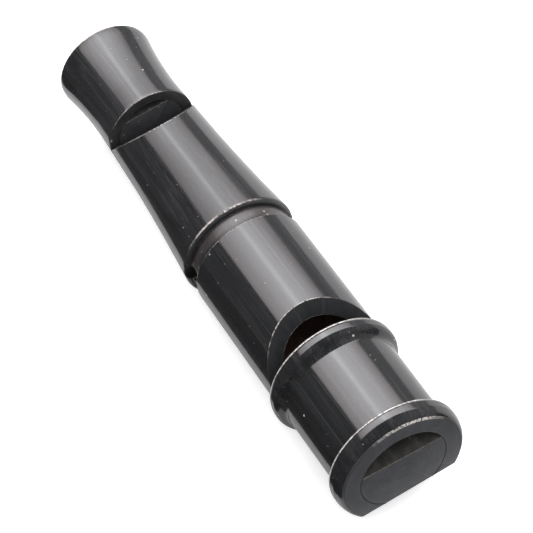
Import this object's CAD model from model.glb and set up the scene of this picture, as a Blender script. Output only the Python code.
# %% [markdown]
# # A double-ended horn dog whistle
# The object is a dog whistle turned from black buffalo horn. Each end is a whistle of its
# own: the thick end holds a cork pea and trills, the thin end blows one plain note.
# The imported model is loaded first. It holds the sizes, and every piece below is made
# inside it, with its place in its mesh and its object at the origin.

# %% Load the frame
import math

import bmesh
import bpy
from mathutils import Matrix, Vector, noise


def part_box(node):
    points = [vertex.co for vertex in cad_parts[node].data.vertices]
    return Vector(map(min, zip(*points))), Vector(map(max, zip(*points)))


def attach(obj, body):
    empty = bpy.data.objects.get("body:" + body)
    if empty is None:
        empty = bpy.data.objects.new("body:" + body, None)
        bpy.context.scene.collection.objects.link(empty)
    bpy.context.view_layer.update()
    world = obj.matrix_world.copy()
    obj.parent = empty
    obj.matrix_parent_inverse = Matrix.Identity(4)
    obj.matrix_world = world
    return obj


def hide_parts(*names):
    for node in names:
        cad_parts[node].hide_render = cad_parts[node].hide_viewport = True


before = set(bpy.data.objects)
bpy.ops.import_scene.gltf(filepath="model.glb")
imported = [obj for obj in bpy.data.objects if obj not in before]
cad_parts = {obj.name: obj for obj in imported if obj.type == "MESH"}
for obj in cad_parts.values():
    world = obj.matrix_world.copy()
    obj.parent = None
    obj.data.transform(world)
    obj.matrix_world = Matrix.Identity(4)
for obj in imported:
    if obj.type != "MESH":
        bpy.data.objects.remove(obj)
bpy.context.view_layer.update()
MM = 0.001

mouth_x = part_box("trill_body")[1].x
plain_low, plain_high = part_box("plain_body")
LENGTH = mouth_x - plain_low.x
AXIS_Z = (plain_low.z + plain_high.z) / 2
print("length", round(LENGTH / MM, 2), "mm, axis at", round(AXIS_Z / MM, 2), "mm")

# %% [markdown]
# ## Places along the whistle
# A turner works from one end of the blank, so every place along the whistle is given in
# millimetres from the trill end's mouth face, and every radius from the axis. One helper
# turns such a place into the frame's own X.

# %% Places
def along(place):
    """The frame's X of a place that is so many millimetres from the trill mouth."""
    return mouth_x - place * MM


def to_linear(hex_colour):
    """An sRGB hex colour as the linear colour that a shader takes."""
    channels = [int(hex_colour[i:i + 2], 16) / 255 for i in (1, 3, 5)]
    linear = [c / 12.92 if c <= 0.04045 else ((c + 0.055) / 1.055) ** 2.4 for c in channels]
    return (*linear, 1.0)


print("the far end is at x =", round(along(LENGTH / MM) / MM, 2), "mm")

# %% [markdown]
# ## Adding nodes
# Materials and Geometry Nodes are both trees of nodes. This one helper adds a node of any
# kind, sets its own settings, and fills or links its inputs, so that each tree below reads
# as a list of what happens to the surface. Inputs are given by name, or as a list in the
# order that the node shows them. A node given as an input stands for its first output.

# %% One helper for every node
def fill_inputs(tree, node, inputs):
    """Links or sets a node's inputs, and turns hex colours to linear."""
    shown = [socket for socket in node.inputs if socket.enabled]
    if isinstance(inputs, dict):
        pairs = [(node.inputs[name], value) for name, value in inputs.items()]
    else:
        pairs = zip(shown, inputs)
    for socket, value in pairs:
        if isinstance(value, bpy.types.Node):
            value = next(output for output in value.outputs if output.enabled)
        if isinstance(value, bpy.types.NodeSocket):
            tree.links.new(value, socket)
        elif isinstance(value, str):
            socket.default_value = to_linear(value)
        else:
            socket.default_value = value


def add_node(tree, kind, inputs=(), **settings):
    """Adds a node of this kind with its settings, and fills its inputs."""
    made = tree.nodes.new(kind)
    for name, value in settings.items():
        setattr(made, name, value)
    fill_inputs(tree, made, inputs)
    return made


MATH, RANGE, MIX = "ShaderNodeMath", "ShaderNodeMapRange", "ShaderNodeMix"
NOISE, CELLS, BUMP = "ShaderNodeTexNoise", "ShaderNodeTexVoronoi", "ShaderNodeBump"
PLACE, MAPPING, SPLIT = "ShaderNodeTexCoord", "ShaderNodeMapping", "ShaderNodeSeparateXYZ"
print("kinds of node used most:", MATH, RANGE, MIX, NOISE, CELLS, BUMP)

# %% [markdown]
# ## The finishes
# Buffalo horn is keratin, the stuff of hoof and nail, laid down in fibres that run along
# the horn. It is nearly black, with an IOR close to 1.55. Where it has been polished it
# mirrors the light like black glass, but the fibres stay as faint streaks and the polish
# leaves hair scratches. Where it has been sawn, filed or drilled it is a dull grey-black.
# Every horn finish shares the streaks, so one function lays them down, reading the place
# on the object: round the whistle and along it.

# %% Horn streaks shared by every horn finish
HORN_IOR = 1.55


def start_material(name, ior, roughness):
    """A new non-metal material, with its tree and its shader."""
    made = bpy.data.materials.new(name)
    made.use_nodes = True
    shader = made.node_tree.nodes["Principled BSDF"]
    fill_inputs(made.node_tree, shader, {"IOR": ior, "Metallic": 0.0, "Roughness": roughness})
    return made, made.node_tree, shader


def radius_and_angle(tree):
    """How far a point is from the whistle's axis, and its angle round the axis."""
    part = add_node(tree, SPLIT, [add_node(tree, PLACE).outputs["Object"]])
    side = part.outputs["Y"]
    height = add_node(tree, MATH, [part.outputs["Z"], AXIS_Z], operation="SUBTRACT")
    angle = add_node(tree, MATH, [side, height], operation="ARCTAN2")
    across = add_node(tree, MATH, [side, side], operation="MULTIPLY")
    upward = add_node(tree, MATH, [height, height], operation="MULTIPLY")
    squared = add_node(tree, MATH, [across, upward], operation="ADD")
    return add_node(tree, MATH, [squared], operation="SQRT"), angle


def streaks(tree, width, length, detail=4.0, seed=0.0):
    """Noise stretched along the whistle: streaks this wide and this long, in millimetres.

    The seed slides the pattern along, so that no two finishes share the same streaks.
    """
    stretched = add_node(tree, MAPPING, {
        "Vector": add_node(tree, PLACE).outputs["Object"],
        "Location": (seed * MM, 0.0, AXIS_Z),
        "Scale": (length * MM, width * MM, width * MM),
    }, vector_type="TEXTURE")
    return add_node(tree, NOISE, {
        "Vector": stretched, "Scale": 1.0, "Detail": detail, "Roughness": 0.6,
    })


def specks(tree, spacing, size, seed=0.0):
    """Small dots, about one in each cell of this spacing, of uneven size, in millimetres."""
    moved = add_node(tree, MAPPING, {
        "Vector": add_node(tree, PLACE).outputs["Object"],
        "Location": (seed * MM, seed * MM, 0.0),
        "Scale": (spacing * MM, spacing * MM, spacing * MM),
    }, vector_type="TEXTURE")
    cells = add_node(tree, CELLS, {"Vector": moved, "Scale": 1.0}, feature="F1")
    chance = add_node(tree, "ShaderNodeSeparateColor", [cells.outputs["Color"]])
    reach = add_node(tree, RANGE, [chance, 0.55, 1.0, 0.0, size / spacing])
    return add_node(tree, MATH, [cells.outputs["Distance"], reach], operation="LESS_THAN")


print("horn IOR", HORN_IOR)

# %% [markdown]
# ### Polished horn
# The turned outside was scraped, sanded along the fibres and buffed. What the eye sees is
# a clear mirror on near-black, broken by streaks where the fibres took the polish
# differently, by slight ripples, and by pale pits and dust. An image of real horn could
# give this, but streaks of noise fit any length and keep their size in millimetres. The
# real pits are under a tenth of a millimetre, so they are drawn a little larger to show.

# %% Polished horn
def make_polished_horn():
    """Near-black horn with pale fibres, pits and dust under a clear polish."""
    made, tree, shader = start_material("polished_buffalo_horn", HORN_IOR, 0.12)
    fibres = add_node(tree, RANGE, [streaks(tree, 0.9, 38.0, 5.0), 0.42, 0.66])
    fine = streaks(tree, 0.22, 14.0, 3.0, 7.0)
    pale = add_node(tree, RANGE, [fine, 0.58, 0.80, 0.0, 0.35])
    broad = add_node(tree, RANGE, [streaks(tree, 0.7, 60.0, 2.0, 31.0), 0.56, 0.72, 0.0, 0.22])
    ripples = streaks(tree, 0.6, 0.9, 2.0, 41.0)
    relief = add_node(tree, MATH, [fine, 0.15, ripples], operation="MULTIPLY_ADD")
    pits = specks(tree, 2.2, 0.17)
    dust = specks(tree, 1.0, 0.08, 9.0)
    hue = add_node(tree, MIX, [fibres, "#1b1c1d", "#2a2a2c"], data_type="RGBA")
    hue = add_node(tree, MIX, [broad, hue, "#4d4c4c"], data_type="RGBA")
    hue = add_node(tree, MIX, [pale, hue, "#4a4847"], data_type="RGBA")
    hue = add_node(tree, MIX, [dust, hue, "#8f8985"], data_type="RGBA")
    hue = add_node(tree, MIX, [pits, hue, "#b3aba4"], data_type="RGBA")
    cloud = add_node(tree, RANGE, [streaks(tree, 2.2, 5.0, 5.0, 21.0), 0.35, 0.70, 0.0, 0.05])
    satin = add_node(tree, RANGE, [fine, 0.45, 0.75, 0.09, 0.15])
    satin = add_node(tree, MATH, [satin, cloud], operation="ADD")
    dull = add_node(tree, MATH, [pits, 0.4, satin], operation="MULTIPLY_ADD")
    fill_inputs(tree, shader, {
        "Base Color": hue,
        "Roughness": dull,
        "Normal": add_node(tree, BUMP, {
            "Strength": 0.16, "Distance": 0.02 * MM, "Height": relief,
        }),
    })
    return made


polished_horn = make_polished_horn()
print("made", polished_horn.name)

# %% [markdown]
# ### Faced, filed and drilled horn
# The mouth faces were cut square on the lathe, which leaves fine rings. The windows were
# filed, which leaves straight strokes and a satin sheen, and a few pale chips at the far
# one. The bores were drilled, and stay dull and brownish, because thin raw horn lets a
# little light through. Dust lies in the wind channels, and grime in the cord hole. One
# function makes all of these, from two colours, the roughness and the tool's marks, so
# that they stay one family.

# %% Cut horn
def make_cut_horn(name, dark, light, roughness, marks, mark_depth, speckle):
    """Horn left as a tool left it. Depth and speck size are in millimetres."""
    made, tree, shader = start_material(name, HORN_IOR, roughness)
    lines = marks(tree)
    cut_deep = add_node(tree, RANGE, [lines, 0.35, 0.70])
    cloud = add_node(tree, RANGE, [streaks(tree, 1.4, 3.0, 4.0, 3.0), 0.30, 0.70])
    share = add_node(tree, MATH, [cut_deep, cloud], operation="MULTIPLY")
    hue = add_node(tree, MIX, [share, dark, light], data_type="RGBA")
    dots = specks(tree, 1.1, speckle, 5.0)
    fill_inputs(tree, shader, {
        "Base Color": add_node(tree, MIX, [dots, hue, "#9c948c"], data_type="RGBA"),
        "Normal": add_node(tree, BUMP, {
            "Strength": 0.5, "Distance": mark_depth * MM, "Height": lines,
        }),
    })
    return made


def ring_marks(tree):
    """Rings round the axis, drawn twice as far apart as the real ones, so that they show."""
    spacing, wander = 0.16 * MM, 0.02 * MM
    radius, angle = radius_and_angle(tree)
    drift = add_node(tree, MATH, [angle, wander, radius], operation="MULTIPLY_ADD")
    rings = add_node(tree, MATH, [drift, spacing], operation="DIVIDE")
    return add_node(tree, NOISE, {"W": rings, "Scale": 1.0, "Detail": 2.0},
                    noise_dimensions="1D")


def file_strokes(tree):
    """Strokes along the whistle, 0.14 mm wide and about 2 mm long."""
    return streaks(tree, 0.14, 2.2, 3.0, 11.0)


def drill_bruises(tree):
    """Uneven patches a millimetre or two across, which a worn drill leaves."""
    return streaks(tree, 1.1, 1.8, 2.0, 13.0)


faced_horn, filed_horn, chipped_horn, drilled_horn, grimy_horn, dusty_horn = (
    make_cut_horn(name, *look) for name, look in {
        "faced_horn": ("#3b3c3f", "#505256", 0.36, ring_marks, 0.02, 0.10),
        "filed_horn": ("#232425", "#343639", 0.36, file_strokes, 0.02, 0.10),
        "chipped_horn": ("#2b2c2d", "#4b4a49", 0.4, file_strokes, 0.03, 0.30),
        "drilled_horn": ("#453936", "#6e5a50", 0.55, drill_bruises, 0.004, 0.14),
        "grimy_drilled_horn": ("#0d0c0c", "#1d1817", 0.5, drill_bruises, 0.004, 0.08),
        "dusty_filed_horn": ("#2b2b2b", "#4b4947", 0.6, drill_bruises, 0.01, 0.24),
    }.items()
)
for finish in (faced_horn, filed_horn, chipped_horn, drilled_horn, grimy_horn, dusty_horn):
    print("made", finish.name)

# %% [markdown]
# ### The groove's finish
# The groove was scraped and never polished. Its corners are black with old grime, and its
# floor is a worn grey-brown where the cord has rubbed. The grime depends on the place
# along the whistle, so the colour is mixed by how far a point is from each corner.

# %% Scraped groove
GROOVE_FRONT, GROOVE_BACK = 41.6, 44.3
GRIME_FRONT, GRIME_BACK, GRIME_FADE = 0.5, 0.2, 0.5


def make_groove_horn():
    """Scraped horn, black in the groove's corners and worn on its floor."""
    made, tree, shader = start_material("scraped_groove_horn", HORN_IOR, 0.34)
    scrapes = streaks(tree, 0.5, 0.35, 4.0, 19.0)
    worn = add_node(tree, RANGE, [scrapes, 0.35, 0.65, 0.35, 1.0])
    part = add_node(tree, SPLIT, [add_node(tree, PLACE).outputs["Object"]])
    start, end = GROOVE_FRONT + GRIME_FRONT, GROOVE_BACK - GRIME_BACK
    front = add_node(tree, RANGE, [part.outputs["X"], along(start), along(start + GRIME_FADE)])
    back = add_node(tree, RANGE, [part.outputs["X"], along(end), along(end - GRIME_FADE)])
    clean = add_node(tree, MATH, [front, back], operation="MULTIPLY")
    share = add_node(tree, MATH, [clean, worn], operation="MULTIPLY")
    hue = add_node(tree, MIX, [share, "#191819", "#3b3736"], data_type="RGBA")
    chips = specks(tree, 0.7, 0.18, 5.0)
    fill_inputs(tree, shader, {
        "Base Color": add_node(tree, MIX, [chips, hue, "#8d8580"], data_type="RGBA"),
        "Normal": add_node(tree, BUMP, {
            "Strength": 0.5, "Distance": 0.05 * MM, "Height": scrapes,
        }),
    })
    return made


groove_horn = make_groove_horn()
print("groove", round(GROOVE_BACK - GROOVE_FRONT, 2), "mm wide")

# %% [markdown]
# ### Rubbed edges
# Every sharp edge of the whistle has been handled. The corner wears away first, and the
# bruised fibres show pale and dry, in dashes. The edges get a small bevel below, and these
# narrow faces get this finish. Hands and pockets wear one side of a round thing more than
# the other, so the wear lies between two angles round the axis, counted from the top. The
# rims, the mouth, the plugs and the far lip are worn more or less than the other edges,
# so each has its own pair of colours and its own pair of angles.

# %% Rubbed edges
def make_rubbed_edge(name, dark, pale, start, end):
    """Horn rubbed pale between two angles round the whistle, in degrees from its top."""
    made, tree, shader = start_material(name, HORN_IOR, 0.3)
    dashes = add_node(tree, RANGE, [streaks(tree, 0.35, 0.5, 3.0, 17.0), 0.38, 0.60])
    start, end, soft = math.radians(start), math.radians(end), math.radians(12.0)
    angle = radius_and_angle(tree)[1]
    rise = add_node(tree, RANGE, [angle, start - soft, start + soft])
    fall = add_node(tree, RANGE, [angle, end - soft, end + soft, 1.0, 0.0])
    between = add_node(tree, MATH, [rise, fall], operation="MULTIPLY")
    share = add_node(tree, MATH, [between, dashes], operation="MULTIPLY")
    fill_inputs(tree, shader, {
        "Base Color": add_node(tree, MIX, [share, dark, pale], data_type="RGBA"),
    })
    return made


rubbed_edge = make_rubbed_edge("rubbed_horn_edge", "#2e2c2b", "#bdb6b1", -45, 25)
rubbed_mouth = make_rubbed_edge("rubbed_horn_mouth_edge", "#3a3a3a", "#c3bdb8", -12, 42)
rubbed_rim = make_rubbed_edge("rubbed_horn_rim", "#6d6967", "#d2cdc9", -125, 35)
rubbed_plug = make_rubbed_edge("rubbed_horn_plug_edge", "#3a3837", "#6f645e", -125, 125)
rubbed_lip = make_rubbed_edge("rubbed_horn_far_lip", "#4a413c", "#9a8c84", -125, 35)
for finish in (rubbed_edge, rubbed_mouth, rubbed_rim, rubbed_plug, rubbed_lip):
    print("made", finish.name)

# %% [markdown]
# ### Cork
# The pea is cut from bottle cork: honey-brown granules with darker cell walls and a few
# deep brown pores. Cork is dry, so it has almost no gloss.

# %% Cork
def make_cork():
    """Honey-brown granules with darker walls and deep pores."""
    made, tree, shader = start_material("bottle_cork", 1.45, 0.9)
    place = add_node(tree, PLACE).outputs["Object"]
    granule, patch = 0.45 * MM, 1.6 * MM
    grains = add_node(tree, CELLS, {"Vector": place, "Scale": 1 / granule}, feature="F1")
    cloud = add_node(tree, NOISE, {"Vector": place, "Scale": 1 / patch, "Detail": 5.0})
    share = add_node(tree, RANGE, [cloud, 0.35, 0.65])
    walls = add_node(tree, RANGE, [grains.outputs["Distance"], 0.35, 0.60, 0.0, 0.5])
    pores = specks(tree, 1.7, 0.45, 2.0)
    hue = add_node(tree, MIX, [share, "#8f6238", "#c69a63"], data_type="RGBA")
    hue = add_node(tree, MIX, [walls, hue, "#5f3d20"], data_type="RGBA")
    fill_inputs(tree, shader, {
        "Base Color": add_node(tree, MIX, [pores, hue, "#3c2412"], data_type="RGBA"),
        "Normal": add_node(tree, BUMP, {
            "Strength": 0.6, "Distance": 0.06 * MM, "Height": cloud,
        }),
    })
    return made


cork = make_cork()
print("made", cork.name)

# %% [markdown]
# ## Turning on the lathe
# A lathe turns a blank while a tool follows a profile, so the body's shape obeys one rule:
# a profile swept round the axis. This Geometry Nodes tree does the same. It makes a grid
# with one row for each profile point and one column for each step round, then moves every
# grid point to the profile's place and radius, at that column's angle. A Spin in mesh code
# could do it too, but here the profile and the step count stay as inputs. Points closer
# than the merging distance, in millimetres, become one, which closes the seam.

# %% The lathe, as a node tree
MERGE = 0.0005


def make_lathe():
    """A node tree that sweeps a profile, as (place, 0, radius) points, round the axis."""
    tree = bpy.data.node_groups.new("lathe", "GeometryNodeTree")
    for name, kind in (("Profile", "NodeSocketGeometry"), ("Steps Round", "NodeSocketInt"),
                       ("Axis Height", "NodeSocketFloat"), ("Finish", "NodeSocketMaterial")):
        tree.interface.new_socket(name, in_out="INPUT", socket_type=kind)
    tree.interface.new_socket("Turned", in_out="OUTPUT", socket_type="NodeSocketGeometry")
    given = add_node(tree, "NodeGroupInput").outputs
    rows = add_node(tree, "GeometryNodeAttributeDomainSize", [given["Profile"]])
    columns = add_node(tree, MATH, [given["Steps Round"], 1.0], operation="ADD")
    grid = add_node(tree, "GeometryNodeMeshGrid", {
        "Vertices X": rows.outputs["Point Count"], "Vertices Y": columns,
    })
    number = add_node(tree, "GeometryNodeInputIndex")
    middle = add_node(tree, MATH, [number, 0.5], operation="ADD")
    part = add_node(tree, MATH, [middle, columns], operation="DIVIDE")
    row = add_node(tree, MATH, [part], operation="FLOOR")
    before = add_node(tree, MATH, [row, columns], operation="MULTIPLY")
    column = add_node(tree, MATH, [number, before], operation="SUBTRACT")
    turn = add_node(tree, MATH, [math.tau, given["Steps Round"]], operation="DIVIDE")
    angle = add_node(tree, MATH, [column, turn], operation="MULTIPLY")
    point = add_node(tree, "GeometryNodeSampleIndex", {
        "Geometry": given["Profile"],
        "Value": add_node(tree, "GeometryNodeInputPosition"),
        "Index": row,
    }, data_type="FLOAT_VECTOR")
    point = add_node(tree, SPLIT, [point])
    sine = add_node(tree, MATH, [angle], operation="SINE")
    cosine = add_node(tree, MATH, [angle], operation="COSINE")
    side = add_node(tree, MATH, [point.outputs["Z"], sine], operation="MULTIPLY")
    height = add_node(tree, MATH, [point.outputs["Z"], cosine, given["Axis Height"]],
                      operation="MULTIPLY_ADD")
    place = add_node(tree, "ShaderNodeCombineXYZ", [point.outputs["X"], side, height])
    moved = add_node(tree, "GeometryNodeSetPosition", {
        "Geometry": grid.outputs["Mesh"], "Position": place,
    })
    merged = add_node(tree, "GeometryNodeMergeByDistance", {
        "Geometry": moved, "Distance": MERGE * MM,
    })
    solid = add_node(tree, "GeometryNodeRealizeInstances", [merged])
    finished = add_node(tree, "GeometryNodeSetMaterial", {
        "Geometry": solid, "Material": given["Finish"],
    })
    add_node(tree, "NodeGroupOutput", {"Turned": finished})
    return tree


lathe = make_lathe()
print("lathe tree has", len(lathe.nodes), "nodes")

# %% [markdown]
# A modifier holds the tree's inputs under identifiers, so the helper looks those up by
# name. Freezing copies what the modifiers make into a plain mesh, and takes them off. The
# step count is even but not a multiple of four, so that no corner of the turned shape lies
# exactly level with the axis, where the windows' cuts begin.

# %% Turn and freeze
STEPS_ROUND = 182


def freeze(piece):
    """Replaces a piece's mesh by what its modifiers make of it."""
    seen = piece.evaluated_get(bpy.context.evaluated_depsgraph_get())
    solid = bpy.data.meshes.new_from_object(seen)
    piece.modifiers.clear()
    piece.data = solid
    return piece


def face_outwards(mesh):
    """Joins doubled points, and turns every face outwards."""
    shape = bmesh.new()
    shape.from_mesh(mesh)
    bmesh.ops.remove_doubles(shape, verts=shape.verts, dist=MERGE * MM)
    bmesh.ops.recalc_face_normals(shape, faces=shape.faces)
    shape.to_mesh(mesh)
    shape.free()


def turn_piece(name, profile, finish):
    """Turns (place, radius) points, in millimetres, about the whistle's axis."""
    line = bpy.data.meshes.new(name)
    points = [(along(place), 0.0, radius * MM) for place, radius in profile]
    line.from_pydata(points, [(i, i + 1) for i in range(len(points) - 1)], [])
    piece = bpy.data.objects.new(name, line)
    bpy.context.collection.objects.link(piece)
    modifier = piece.modifiers.new("lathe", "NODES")
    modifier.node_group = lathe
    values = {"Steps Round": STEPS_ROUND, "Axis Height": AXIS_Z, "Finish": finish}
    for socket in lathe.interface.items_tree:
        if socket.name in values:
            modifier[socket.identifier] = values[socket.name]
    freeze(piece)
    piece.data.materials.clear()
    piece.data.materials.append(finish)
    face_outwards(piece.data)
    return piece


print(STEPS_ROUND, "steps round, none at a right angle:", (STEPS_ROUND / 4) % 1 != 0)

# %% [markdown]
# ## Rounded profiles
# Real turned corners are never knife-sharp. This helper replaces a corner of a profile by
# a short arc, so that the profile can be written as its plain corners with a rounding
# radius for each.

# %% Round the corners of a profile
def rounded(corners, arc_steps=6):
    """Corners are (place, radius) or (place, radius, rounding), in millimetres."""
    points = []
    for i, corner in enumerate(corners):
        here = Vector(corner[:2])
        size = corner[2] if len(corner) > 2 else 0.0
        if size == 0.0 or i in (0, len(corners) - 1):
            points.append(tuple(here))
            continue
        back = (Vector(corners[i - 1][:2]) - here)
        ahead = (Vector(corners[i + 1][:2]) - here)
        reach = min(size, back.length * 0.49, ahead.length * 0.49)
        start = here + back.normalized() * reach
        end = here + ahead.normalized() * reach
        for step in range(arc_steps + 1):
            t = step / arc_steps
            bent = start * (1 - t) ** 2 + here * 2 * t * (1 - t) + end * t ** 2
            points.append(tuple(bent))
    return points


print("a square corner becomes", len(rounded([(0, 0), (1, 0, 0.2), (1, 1)])), "points")

# %% [markdown]
# ## Cutting tools
# The windows, the lip flat, the plugs' flats and the cord hole are made on the real
# whistle by taking horn away. They could be drawn as faces one by one, but a cutter's shape
# subtracted with a Boolean leaves a closed mesh and clean rims. Each cutter carries the
# finish that its tool leaves, and the exact solver passes that on to the faces it cuts.

# %% Cutters
CUTTER_REACH = 14.0


def bar_piece(name, outline, finish, tilt=0.0):
    """A bar across the whistle from (place, height above the axis) corners."""
    mesh = bpy.data.meshes.new(name)
    shape = bmesh.new()
    corners = [
        shape.verts.new((along(place), -CUTTER_REACH * MM, height * MM))
        for place, height in outline
    ]
    swept = bmesh.ops.extrude_face_region(shape, geom=[shape.faces.new(corners)])
    moved = [v for v in swept["geom"] if isinstance(v, bmesh.types.BMVert)]
    bmesh.ops.translate(shape, verts=moved, vec=(0.0, 2 * CUTTER_REACH * MM, 0.0))
    bmesh.ops.recalc_face_normals(shape, faces=shape.faces)
    bmesh.ops.rotate(shape, verts=shape.verts, cent=(0, 0, 0),
                     matrix=Matrix.Rotation(math.radians(tilt), 3, "X"))
    bmesh.ops.translate(shape, verts=shape.verts, vec=(0.0, 0.0, AXIS_Z))
    shape.to_mesh(mesh)
    shape.free()
    mesh.materials.append(finish)
    piece = bpy.data.objects.new(name, mesh)
    bpy.context.collection.objects.link(piece)
    return piece


def cut(piece, *cutters):
    """Takes the cutters out of the piece, one after another."""
    for cutter in cutters:
        boolean = piece.modifiers.new(cutter.name, "BOOLEAN")
        boolean.operation = "DIFFERENCE"
        boolean.solver = "EXACT"
        boolean.material_mode = "TRANSFER"
        boolean.object = cutter
        freeze(piece)
        bpy.data.objects.remove(cutter)


print("cutters reach", CUTTER_REACH, "mm from the axis")

# %% [markdown]
# ## Edges and shading
# A file or a thumb has taken the sharpness off every edge. A Bevel modifier does that for
# all edges over an angle at once, and gives the new narrow faces their own finish. Faces
# of many corners are split first where a bevel could fold them across an opening. Weighted
# normals then keep the flat faces flat and the turned ones smooth.

# %% Edges and shading
SHARP_EDGE = math.radians(35)
BEVEL_STEPS = 2


def split_wide_faces(mesh):
    """Splits faces of many corners, so that no bevel can fold one across an opening."""
    shape = bmesh.new()
    shape.from_mesh(mesh)
    wide = [face for face in shape.faces if len(face.verts) > 4]
    bmesh.ops.triangulate(shape, faces=wide)
    shape.to_mesh(mesh)
    shape.free()


def break_edges(piece, width, finish):
    """Bevels every sharp edge by this many millimetres, and gives it a rubbed finish."""
    piece.data.materials.append(finish)
    bevel = piece.modifiers.new("broken edges", "BEVEL")
    bevel.limit_method = "ANGLE"
    bevel.angle_limit = SHARP_EDGE
    bevel.width = width * MM
    bevel.segments = BEVEL_STEPS
    bevel.use_clamp_overlap = False
    bevel.material = len(piece.data.materials) - 1
    freeze(piece)


def smooth(piece):
    """Shades a piece smooth, apart from its flat faces."""
    piece.data.shade_smooth()
    weighted = piece.modifiers.new("even shading", "WEIGHTED_NORMAL")
    weighted.keep_sharp = True
    freeze(piece)
    triangles = sum(len(face.vertices) - 2 for face in piece.data.polygons)
    print(piece.name, triangles, "triangles")


print("edges sharper than", round(math.degrees(SHARP_EDGE)), "degrees are broken")

# %% [markdown]
# ## The trill half
# The thick half, from the mouth to the cord groove. The lips close round its flange, a
# bead stands behind the barrel, and the window behind the bead lets the air out. It could
# be joined from rings, but one profile, with the bore as its way back, gives one closed
# mesh. The window's wall stands a hair behind the bead, so that no sliver is left between
# them. The lip flat is then filed under the flange.

# %% The trill half
LIP_SLOPE = 0.28
LIP_DEPTH = 5.42
TRILL_WINDOW = 19.0
TRILL_RAMP = 0.72
TRILL_WALL = 19.25
BEFORE_MOUTH, PAST_FLANGE = -2.0, 16.0


def lip_file(name):
    """A cutter for everything under the sloping flat that the lower lip rests on."""
    start, end = BEFORE_MOUTH, PAST_FLANGE
    return bar_piece(name, [
        (start, -LIP_DEPTH - start * LIP_SLOPE), (end, -LIP_DEPTH - end * LIP_SLOPE),
        (end, -CUTTER_REACH), (start, -CUTTER_REACH),
    ], faced_horn)


trill_profile = rounded([
    (0.0, 6.5), (0.0, 8.95), (0.22, 9.20), (0.65, 9.47, 0.3), (1.60, 9.70, 0.15),
    (2.68, 9.70, 0.08), (2.86, 9.61, 0.04), (3.10, 9.57, 0.05), (3.20, 8.50, 0.1),
    (16.4, 8.50, 0.6), (17.05, 9.40, 0.3), (17.6, 9.62, 0.15), (18.55, 9.62, 0.08),
    (18.80, 9.52, 0.04), (19.05, 9.48, 0.05), (19.05, 8.60), (41.6, 8.46),
    (41.75, 8.05, 0.12), (42.5, 7.95, 0.4), (44.22, 7.95),
    (44.22, 4.05), (39.5, 4.05), (39.5, 6.5), (0.0, 6.5),
])
trill_half = turn_piece("trill_half", trill_profile, polished_horn)
cut(
    trill_half,
    bar_piece("trill_window", [
        (TRILL_WALL, (TRILL_WALL - TRILL_WINDOW) / TRILL_RAMP), (TRILL_WALL, CUTTER_REACH),
        (TRILL_WINDOW + TRILL_RAMP * CUTTER_REACH, CUTTER_REACH),
    ], filed_horn),
    lip_file("lip_flat"),
)
print(trill_half.name, "has", len(trill_half.data.polygons), "faces")

# %% [markdown]
# ## The plain half
# The thin half is a hollow-sided cone that narrows from the groove to its own window, and
# then flares to its mouth. A tenon on it goes into the trill half. The cone is steeper
# near the groove, and the flare opens faster towards the rim, so both are drawn as curves.

# %% The plain half
PLAIN_WINDOW = 71.0
PLAIN_RAMP = 0.872
CONE_STEPS, FLARE_STEPS = 12, 14


def cone_point(t):
    """A point of the cone, from t = 0 at its thin end to t = 1 at the groove."""
    thin_end, length, thin_radius, rise, hollow = 71.6, 26.5, 6.76, 1.92, 0.52
    return (thin_end - length * t, thin_radius + rise * (t - hollow * t * (1 - t)))


def flare_point(t):
    """A point of the flare, from t = 0 at the neck to t = 1 at the rim."""
    neck, length, neck_radius, rise, power = 75.0, 10.0, 6.63, 0.72, 2.2
    return (neck + length * t, neck_radius + rise * t ** power)


plain_profile = rounded(
    [(39.5, 0.0), (39.5, 4.0), (44.3, 4.0), (44.3, 8.36, 0.1), (44.62, 8.60, 0.06),
     (44.84, 8.68, 0.1)]
    + [cone_point(1 - step / CONE_STEPS) for step in (*range(9), CONE_STEPS)]
    + [flare_point(step / FLARE_STEPS) for step in range(FLARE_STEPS + 1)]
    + [(85.9, 7.33, 0.35), (86.0, 6.75, 0.2), (86.0, 5.2), (49.5, 5.2), (49.5, 0.0)]
)
plain_half = turn_piece("plain_half", plain_profile, polished_horn)
cut(
    plain_half,
    bar_piece("plain_window", [
        (PLAIN_WINDOW, 0.0), (PLAIN_WINDOW, CUTTER_REACH),
        (PLAIN_WINDOW - PLAIN_RAMP * CUTTER_REACH, CUTTER_REACH),
    ], chipped_horn),
)
print(plain_half.name, "has", len(plain_half.data.polygons), "faces")

# %% [markdown]
# ## The cord hole
# A hole for a cord goes right across the whistle in the groove, through both halves. It
# was drilled by hand, a few degrees off level. The same drill cuts both halves, so one
# function makes a fresh cutter for each.

# %% The cord hole
CORD_HOLE_PLACE, CORD_HOLE_RADIUS, CORD_HOLE_TILT = 43.2, 1.7, 6.0


def cord_drill(name):
    """A cutter for the cord hole, right across the whistle."""
    mesh = bpy.data.meshes.new(name)
    shape = bmesh.new()
    bmesh.ops.create_cone(
        shape, cap_ends=True, segments=44, depth=2 * CUTTER_REACH * MM,
        radius1=CORD_HOLE_RADIUS * MM, radius2=CORD_HOLE_RADIUS * MM,
        matrix=Matrix.Translation((along(CORD_HOLE_PLACE), 0.0, AXIS_Z))
        @ Matrix.Rotation(math.radians(90.0 - CORD_HOLE_TILT), 4, "X"),
    )
    bmesh.ops.recalc_face_normals(shape, faces=shape.faces)
    shape.to_mesh(mesh)
    shape.free()
    mesh.materials.append(grimy_horn)
    piece = bpy.data.objects.new(name, mesh)
    bpy.context.collection.objects.link(piece)
    return piece


cut(trill_half, cord_drill("cord_hole_near"))
cut(plain_half, cord_drill("cord_hole_far"))
print("cord hole", 2 * CORD_HOLE_RADIUS, "mm across")

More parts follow.
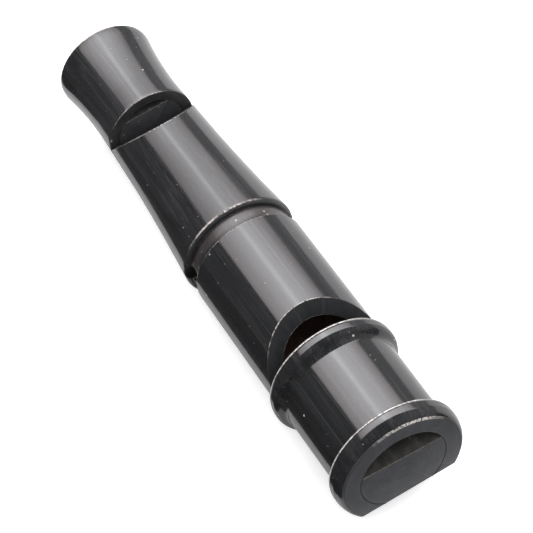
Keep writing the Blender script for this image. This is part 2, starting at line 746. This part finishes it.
# %% [markdown]
# ## Which face has which finish
# The lathe gave each half one finish. The square mouth faces, the bores and the groove's
# floor were left as the tool left them, so their faces get another material, by where
# they lie. Doing this by place and radius, and not by face number, still holds when a
# profile changes.

# %% Mouth faces, bores and groove
FAR_MOUTH, HAIR = 86.0, 0.01
INSIDE_TRILL, INSIDE_PLAIN = 7.5, 5.5


def refinish(piece, finish, belongs, instead_of=polished_horn):
    """Gives another finish to the faces that belong to it by place, radius and angle."""
    piece.data.materials.append(finish)
    slot = len(piece.data.materials) - 1
    before = piece.data.materials.find(instead_of.name)
    count = 0
    for face in piece.data.polygons:
        centre = face.center
        radius = math.hypot(centre.y, centre.z - AXIS_Z) / MM
        angle = math.degrees(math.atan2(centre.y, centre.z - AXIS_Z))
        place = (mouth_x - centre.x) / MM
        if face.material_index == before and belongs(place, radius, angle):
            face.material_index = slot
            count += 1
    print(piece.name, finish.name, "on", count, "faces")


refinish(trill_half, drilled_horn,
         lambda place, radius, angle: place > HAIR and radius < INSIDE_TRILL)
refinish(trill_half, faced_horn, lambda place, radius, angle: place < HAIR)
refinish(trill_half, groove_horn, lambda place, radius, angle: place > GROOVE_FRONT + HAIR)
refinish(plain_half, drilled_horn,
         lambda place, radius, angle: place < FAR_MOUTH - HAIR and radius < INSIDE_PLAIN)
refinish(plain_half, faced_horn, lambda place, radius, angle: place > FAR_MOUTH - HAIR)
refinish(plain_half, filed_horn, lambda place, radius, angle: place < GROOVE_BACK + 0.3)
refinish(plain_half, rubbed_edge, lambda place, radius, angle: place < GROOVE_BACK + 0.54)

# %% [markdown]
# ## Worn edges
# With the broad faces settled, every edge is broken by less than a tenth of a millimetre.
# A few narrow faces are worn more than the rest: the mouth's rim, the cord hole's near
# rim, the ledges of the far window, the far lip, and the two rims that stand proudest,
# behind the flange and behind the bead.

# %% Worn edges
EDGE_WIDTH = 0.08
PROUD_RIMS = ((2.85, 3.12), (18.81, 19.07))

split_wide_faces(trill_half.data)
for half in (trill_half, plain_half):
    break_edges(half, EDGE_WIDTH, rubbed_edge)
refinish(trill_half, rubbed_mouth, lambda place, radius, angle: place < 0.5 and radius > 8.8,
         rubbed_edge)
refinish(trill_half, rubbed_mouth, lambda place, radius, angle: place < 0.23 and radius > 8.9)
refinish(trill_half, rubbed_rim,
         lambda place, radius, angle: place > 41.2 and -105 < angle < -65, rubbed_edge)
refinish(plain_half, rubbed_rim,
         lambda place, radius, angle: 70.3 < place < 71.4 and abs(angle) > 72, rubbed_edge)
refinish(plain_half, rubbed_lip, lambda place, radius, angle: 85.5 < place < 85.8)
for start, end in PROUD_RIMS:
    refinish(trill_half, rubbed_rim,
             lambda place, radius, angle: start < place < end and radius > 9.3)
smooth(trill_half)
smooth(plain_half)

# %% [markdown]
# ## The wind-channel plugs
# Each mouth is closed by a horn plug with a sloping flat on top. Air goes between the flat
# and the bore, and comes out as a thin sheet against the window's edge. A plug is a rod
# that fits the bore, turned on the same lathe, with the flat cut off by the same kind of
# bar as the windows. The trill plug was set in a little askew.

# %% The plugs
PLUG_CORNER, PLUG_EDGE_WIDTH = 0.06, 0.07
BEYOND = 2.0


def make_plug(name, mouth, window, radius, flat_mouth, flat_window, askew):
    """A plug from its mouth to the window. The flat's two heights are above the axis."""
    inwards = math.copysign(1.0, window - mouth)
    plug = turn_piece(name, rounded([
        (mouth, 0.0), (mouth, radius, PLUG_CORNER),
        (window, radius, PLUG_CORNER), (window, 0.0),
    ]), faced_horn)
    lean = (flat_window - flat_mouth) / (window - mouth)
    start, end = mouth - BEYOND * inwards, window + BEYOND * inwards
    cut(plug, bar_piece(name + "_flat", [
        (start, flat_mouth + lean * (start - mouth)),
        (end, flat_mouth + lean * (end - mouth)),
        (end, CUTTER_REACH), (start, CUTTER_REACH),
    ], dusty_horn, askew))
    return plug


trill_plug = make_plug("trill_windway_plug", 0.0, TRILL_WINDOW, 6.46, 2.35, 4.6, -4.0)
cut(trill_plug, lip_file("plug_lip_flat"))
plain_plug = make_plug("plain_windway_plug", FAR_MOUTH, PLAIN_WINDOW, 5.16, 1.9, 3.75, 0.0)
for plug in (trill_plug, plain_plug):
    break_edges(plug, PLUG_EDGE_WIDTH, rubbed_plug)
    smooth(plug)

# %% [markdown]
# ## The cork pea
# The pea that makes the note trill is a cork ball, shaved by hand, so it is slightly
# lumpy and pitted. It starts as a fine ball, and noise in fixed places presses every point
# a little inwards, never out, so that it keeps its clearance in the bore.

# %% The cork pea
LUMP_DEPTH, PIT_DEPTH, GRAIN_DEPTH = 0.16, 0.55, 0.035
LUMPS_ROUND, PITS_ROUND, GRAINS_ROUND = 2.2, 11.0, 34.0
PIT_LEVEL = 0.28


def make_pea():
    """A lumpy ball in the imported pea's place. Only its outermost points reach full size."""
    low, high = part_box("cork_pea")
    centre = (low + high) / 2
    radius = (high.x - low.x) / 2
    mesh = bpy.data.meshes.new("cork_ball")
    shape = bmesh.new()
    bmesh.ops.create_icosphere(shape, subdivisions=6, radius=radius)
    for point in shape.verts:
        direction = point.co.normalized()
        lumps = LUMP_DEPTH * abs(noise.noise(direction * LUMPS_ROUND))
        pits = PIT_DEPTH * max(0.0, noise.noise(direction * PITS_ROUND) - PIT_LEVEL)
        grain = GRAIN_DEPTH * abs(noise.noise(direction * GRAINS_ROUND))
        point.co -= direction * (lumps + pits + grain) * MM
        point.co += centre
    bmesh.ops.recalc_face_normals(shape, faces=shape.faces)
    shape.to_mesh(mesh)
    shape.free()
    mesh.materials.append(cork)
    mesh.shade_smooth()
    pea = bpy.data.objects.new("cork_ball", mesh)
    bpy.context.collection.objects.link(pea)
    print("cork ball", round(2 * radius / MM, 2), "mm across,", len(mesh.polygons), "faces")
    return pea


cork_ball = make_pea()

# %% [markdown]
# ## Bodies, replaced nodes and slots
# Each piece says which moving body it rides on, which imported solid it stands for, and
# which of the record's finishes it takes.

# %% Join the pieces to the frame
for piece, body, stands_for, finish in (
    (trill_half, "whistle", "trill_body", "polished_horn"),
    (plain_half, "whistle", "plain_body", "polished_horn"),
    (trill_plug, "whistle", "trill_plug", "sanded_horn"),
    (plain_plug, "whistle", "plain_plug", "sanded_horn"),
    (cork_ball, "pea", "cork_pea", "cork"),
):
    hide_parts(stands_for)
    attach(piece, body)
    print(piece.name, "rides on", body)

# %% [markdown]
# ## The floor
# A wide, plain, pale floor. A little glow of its own, for the camera only, makes it read
# as white round the whistle. The lower sides of the horn mirror it, and for those mirrored
# rays it is greyer, as a floor is where no lamp reaches it.

# %% The floor
def make_floor():
    """A square floor, six metres wide, at height 0."""
    half = 3.0
    mesh = bpy.data.meshes.new("floor")
    mesh.from_pydata([(-half, -half, 0), (half, -half, 0), (half, half, 0), (-half, half, 0)],
                     [], [(0, 1, 2, 3)])
    made, tree, shader = start_material("pale_paper_floor", 1.45, 0.9)
    cloud = add_node(tree, NOISE, {
        "Vector": add_node(tree, PLACE).outputs["Object"], "Scale": 40.0,
    })
    rays = add_node(tree, "ShaderNodeLightPath").outputs
    hue = add_node(tree, MIX, [cloud, "#e9e9e9", "#efefef"], data_type="RGBA")
    hue = add_node(tree, MIX, [rays["Is Glossy Ray"], hue, "#c8c8c8"], data_type="RGBA")
    lift = add_node(tree, MATH, [rays["Is Camera Ray"], 0.5], operation="MULTIPLY")
    fill_inputs(tree, shader, {
        "Base Color": hue, "Emission Color": "#ffffff", "Emission Strength": lift,
    })
    mesh.materials.append(made)
    floor = bpy.data.objects.new("floor", mesh)
    bpy.context.collection.objects.link(floor)
    return floor


floor = make_floor()
print("floor", floor.dimensions.x, "m wide")

# %% [markdown]
# ## The lights
# Polished black horn shows hardly any colour of its own: it shows what it mirrors. One
# large soft box hangs behind the whistle and above it, and its reflection is the broad
# band along the top. A narrower strip inside it gives the brighter line down the middle.
# The room around is dim, and two black cards lie low beside the whistle, which gives the
# black bands on each side. All places here are in metres.

# %% Soft box, fill and room
BOX_HEIGHT = 0.30
BOX_NEAR, BOX_MIDDLE, BOX_FAR = -0.118, -0.34, -0.62
BOX_LEFT, BOX_RIGHT = -0.22, 0.54
STRIP_PLACE, STRIP_HALF_WIDTH = 0.055, 0.042
CARD_EDGE = -0.0175
WALL_DIM, WALL_BRIGHT = 0.13, 0.50


def make_soft_box():
    """A glowing cloth, brighter towards its near edge and along a soft line inside it."""
    mesh = bpy.data.meshes.new("soft_box")
    mesh.from_pydata([(BOX_FAR, BOX_LEFT, BOX_HEIGHT), (BOX_NEAR, BOX_LEFT, BOX_HEIGHT),
                      (BOX_NEAR, BOX_RIGHT, BOX_HEIGHT), (BOX_FAR, BOX_RIGHT, BOX_HEIGHT)],
                     [], [(0, 3, 2, 1)])
    made = bpy.data.materials.new("lit_cloth")
    made.use_nodes = True
    tree = made.node_tree
    tree.nodes.clear()
    part = add_node(tree, SPLIT, [add_node(tree, PLACE).outputs["Object"]]).outputs
    glow = add_node(tree, RANGE, [part["X"], BOX_MIDDLE, BOX_NEAR, 4.6, 8.4])
    left = add_node(tree, RANGE, [part["Y"], BOX_LEFT, STRIP_PLACE, 0.40, 1.0])
    right = add_node(tree, RANGE, [part["Y"], STRIP_PLACE, BOX_RIGHT, 1.0, 0.40])
    fade = add_node(tree, MATH, [left, right], operation="MULTIPLY")
    aside = add_node(tree, MATH, [part["Y"], STRIP_PLACE], operation="SUBTRACT")
    aside = add_node(tree, MATH, [aside], operation="ABSOLUTE")
    strip = add_node(tree, RANGE, [aside, 0.0, STRIP_HALF_WIDTH, 1.7, 0.0],
                     interpolation_type="SMOOTHSTEP")
    lit = add_node(tree, "ShaderNodeEmission", {
        "Color": add_node(tree, MIX, [fade, "#fff0f0", "#fcfcff"], data_type="RGBA"),
        "Strength": add_node(tree, MATH, [glow, fade, strip], operation="MULTIPLY_ADD"),
    })
    add_node(tree, "ShaderNodeOutputMaterial", {"Surface": lit})
    mesh.materials.append(made)
    box = bpy.data.objects.new("soft_box", mesh)
    box.visible_camera = False
    bpy.context.collection.objects.link(box)


def make_fill():
    """A second light on the camera's side that lifts the shadow, and that gloss ignores."""
    light = bpy.data.lights.new("fill", "AREA")
    light.shape = "RECTANGLE"
    light.size = light.size_y = 0.8
    light.energy = 6.0
    fill = bpy.data.objects.new("fill", light)
    fill.location = (0.25, 0.1, 0.6)
    fill.rotation_euler = fill.location.to_track_quat("Z", "Y").to_euler()
    fill.visible_camera = False
    fill.visible_glossy = False
    bpy.context.collection.objects.link(fill)


def make_black_card(name, left, right, near, far):
    """A black card low beside the whistle: only its reflection shows, as in a studio."""
    height = 0.4 * MM
    mesh = bpy.data.meshes.new(name)
    mesh.from_pydata([(left, near, height), (right, near, height),
                      (right, far, height), (left, far, height)], [], [(0, 1, 2, 3)])
    made, tree, shader = start_material("black_card", 1.45, 0.9)
    fill_inputs(tree, shader, {"Base Color": "#1c1c1c"})
    mesh.materials.append(made)
    card = bpy.data.objects.new(name, mesh)
    card.visible_camera = False
    card.visible_diffuse = False
    card.visible_shadow = False
    bpy.context.collection.objects.link(card)


make_soft_box()
make_fill()
make_black_card("left_card", -0.5, 0.5, -0.8, CARD_EDGE)
make_black_card("front_card", 0.047, 0.8, CARD_EDGE, 0.8)
world = bpy.data.worlds.new("dim_room")
bpy.context.scene.world = world
world.use_nodes = True
room = world.node_tree
seen_directly = add_node(room, "ShaderNodeLightPath").outputs["Is Camera Ray"]
towards = add_node(room, SPLIT, [add_node(room, PLACE).outputs["Generated"]])
walls = add_node(room, RANGE, [towards.outputs["Y"], 0.2, 0.75, WALL_DIM, WALL_BRIGHT])
fill_inputs(room, room.nodes["Background"], {
    "Color": "#ffffff",
    "Strength": add_node(room, MATH, [seen_directly, walls], operation="MAXIMUM"),
})
print("soft box", round((BOX_NEAR - BOX_FAR) / MM), "by", round((BOX_RIGHT - BOX_LEFT) / MM), "mm")

# %% [markdown]
# ## The camera
# A long lens from above and from the trill end, turned so that the whistle runs from the
# lower right to the upper left. Three directions say how the camera is turned, and its
# place is a distance back from the point that it aims at.

# %% The camera
BACK = Vector((0.57722, -0.16949, 0.79881))
RIGHT = Vector((0.48697, 0.85670, -0.17011))
AIM = Vector((3.66, 1.38, 9.63)) * MM
DISTANCE = 0.416
SENSOR = 36.0
LENS = 202.6

lens = bpy.data.cameras.new("camera")
lens.lens = LENS
lens.sensor_width = SENSOR
camera = bpy.data.objects.new("camera", lens)
upward = BACK.cross(RIGHT).normalized()
camera.matrix_world = Matrix.Translation(AIM + BACK * DISTANCE) @ Matrix(
    (RIGHT, upward, BACK)).transposed().to_4x4()
bpy.context.collection.objects.link(camera)
bpy.context.scene.camera = camera
bpy.context.scene.view_settings.view_transform = "Standard"
print("camera at", [round(v / MM) for v in camera.location], "mm")
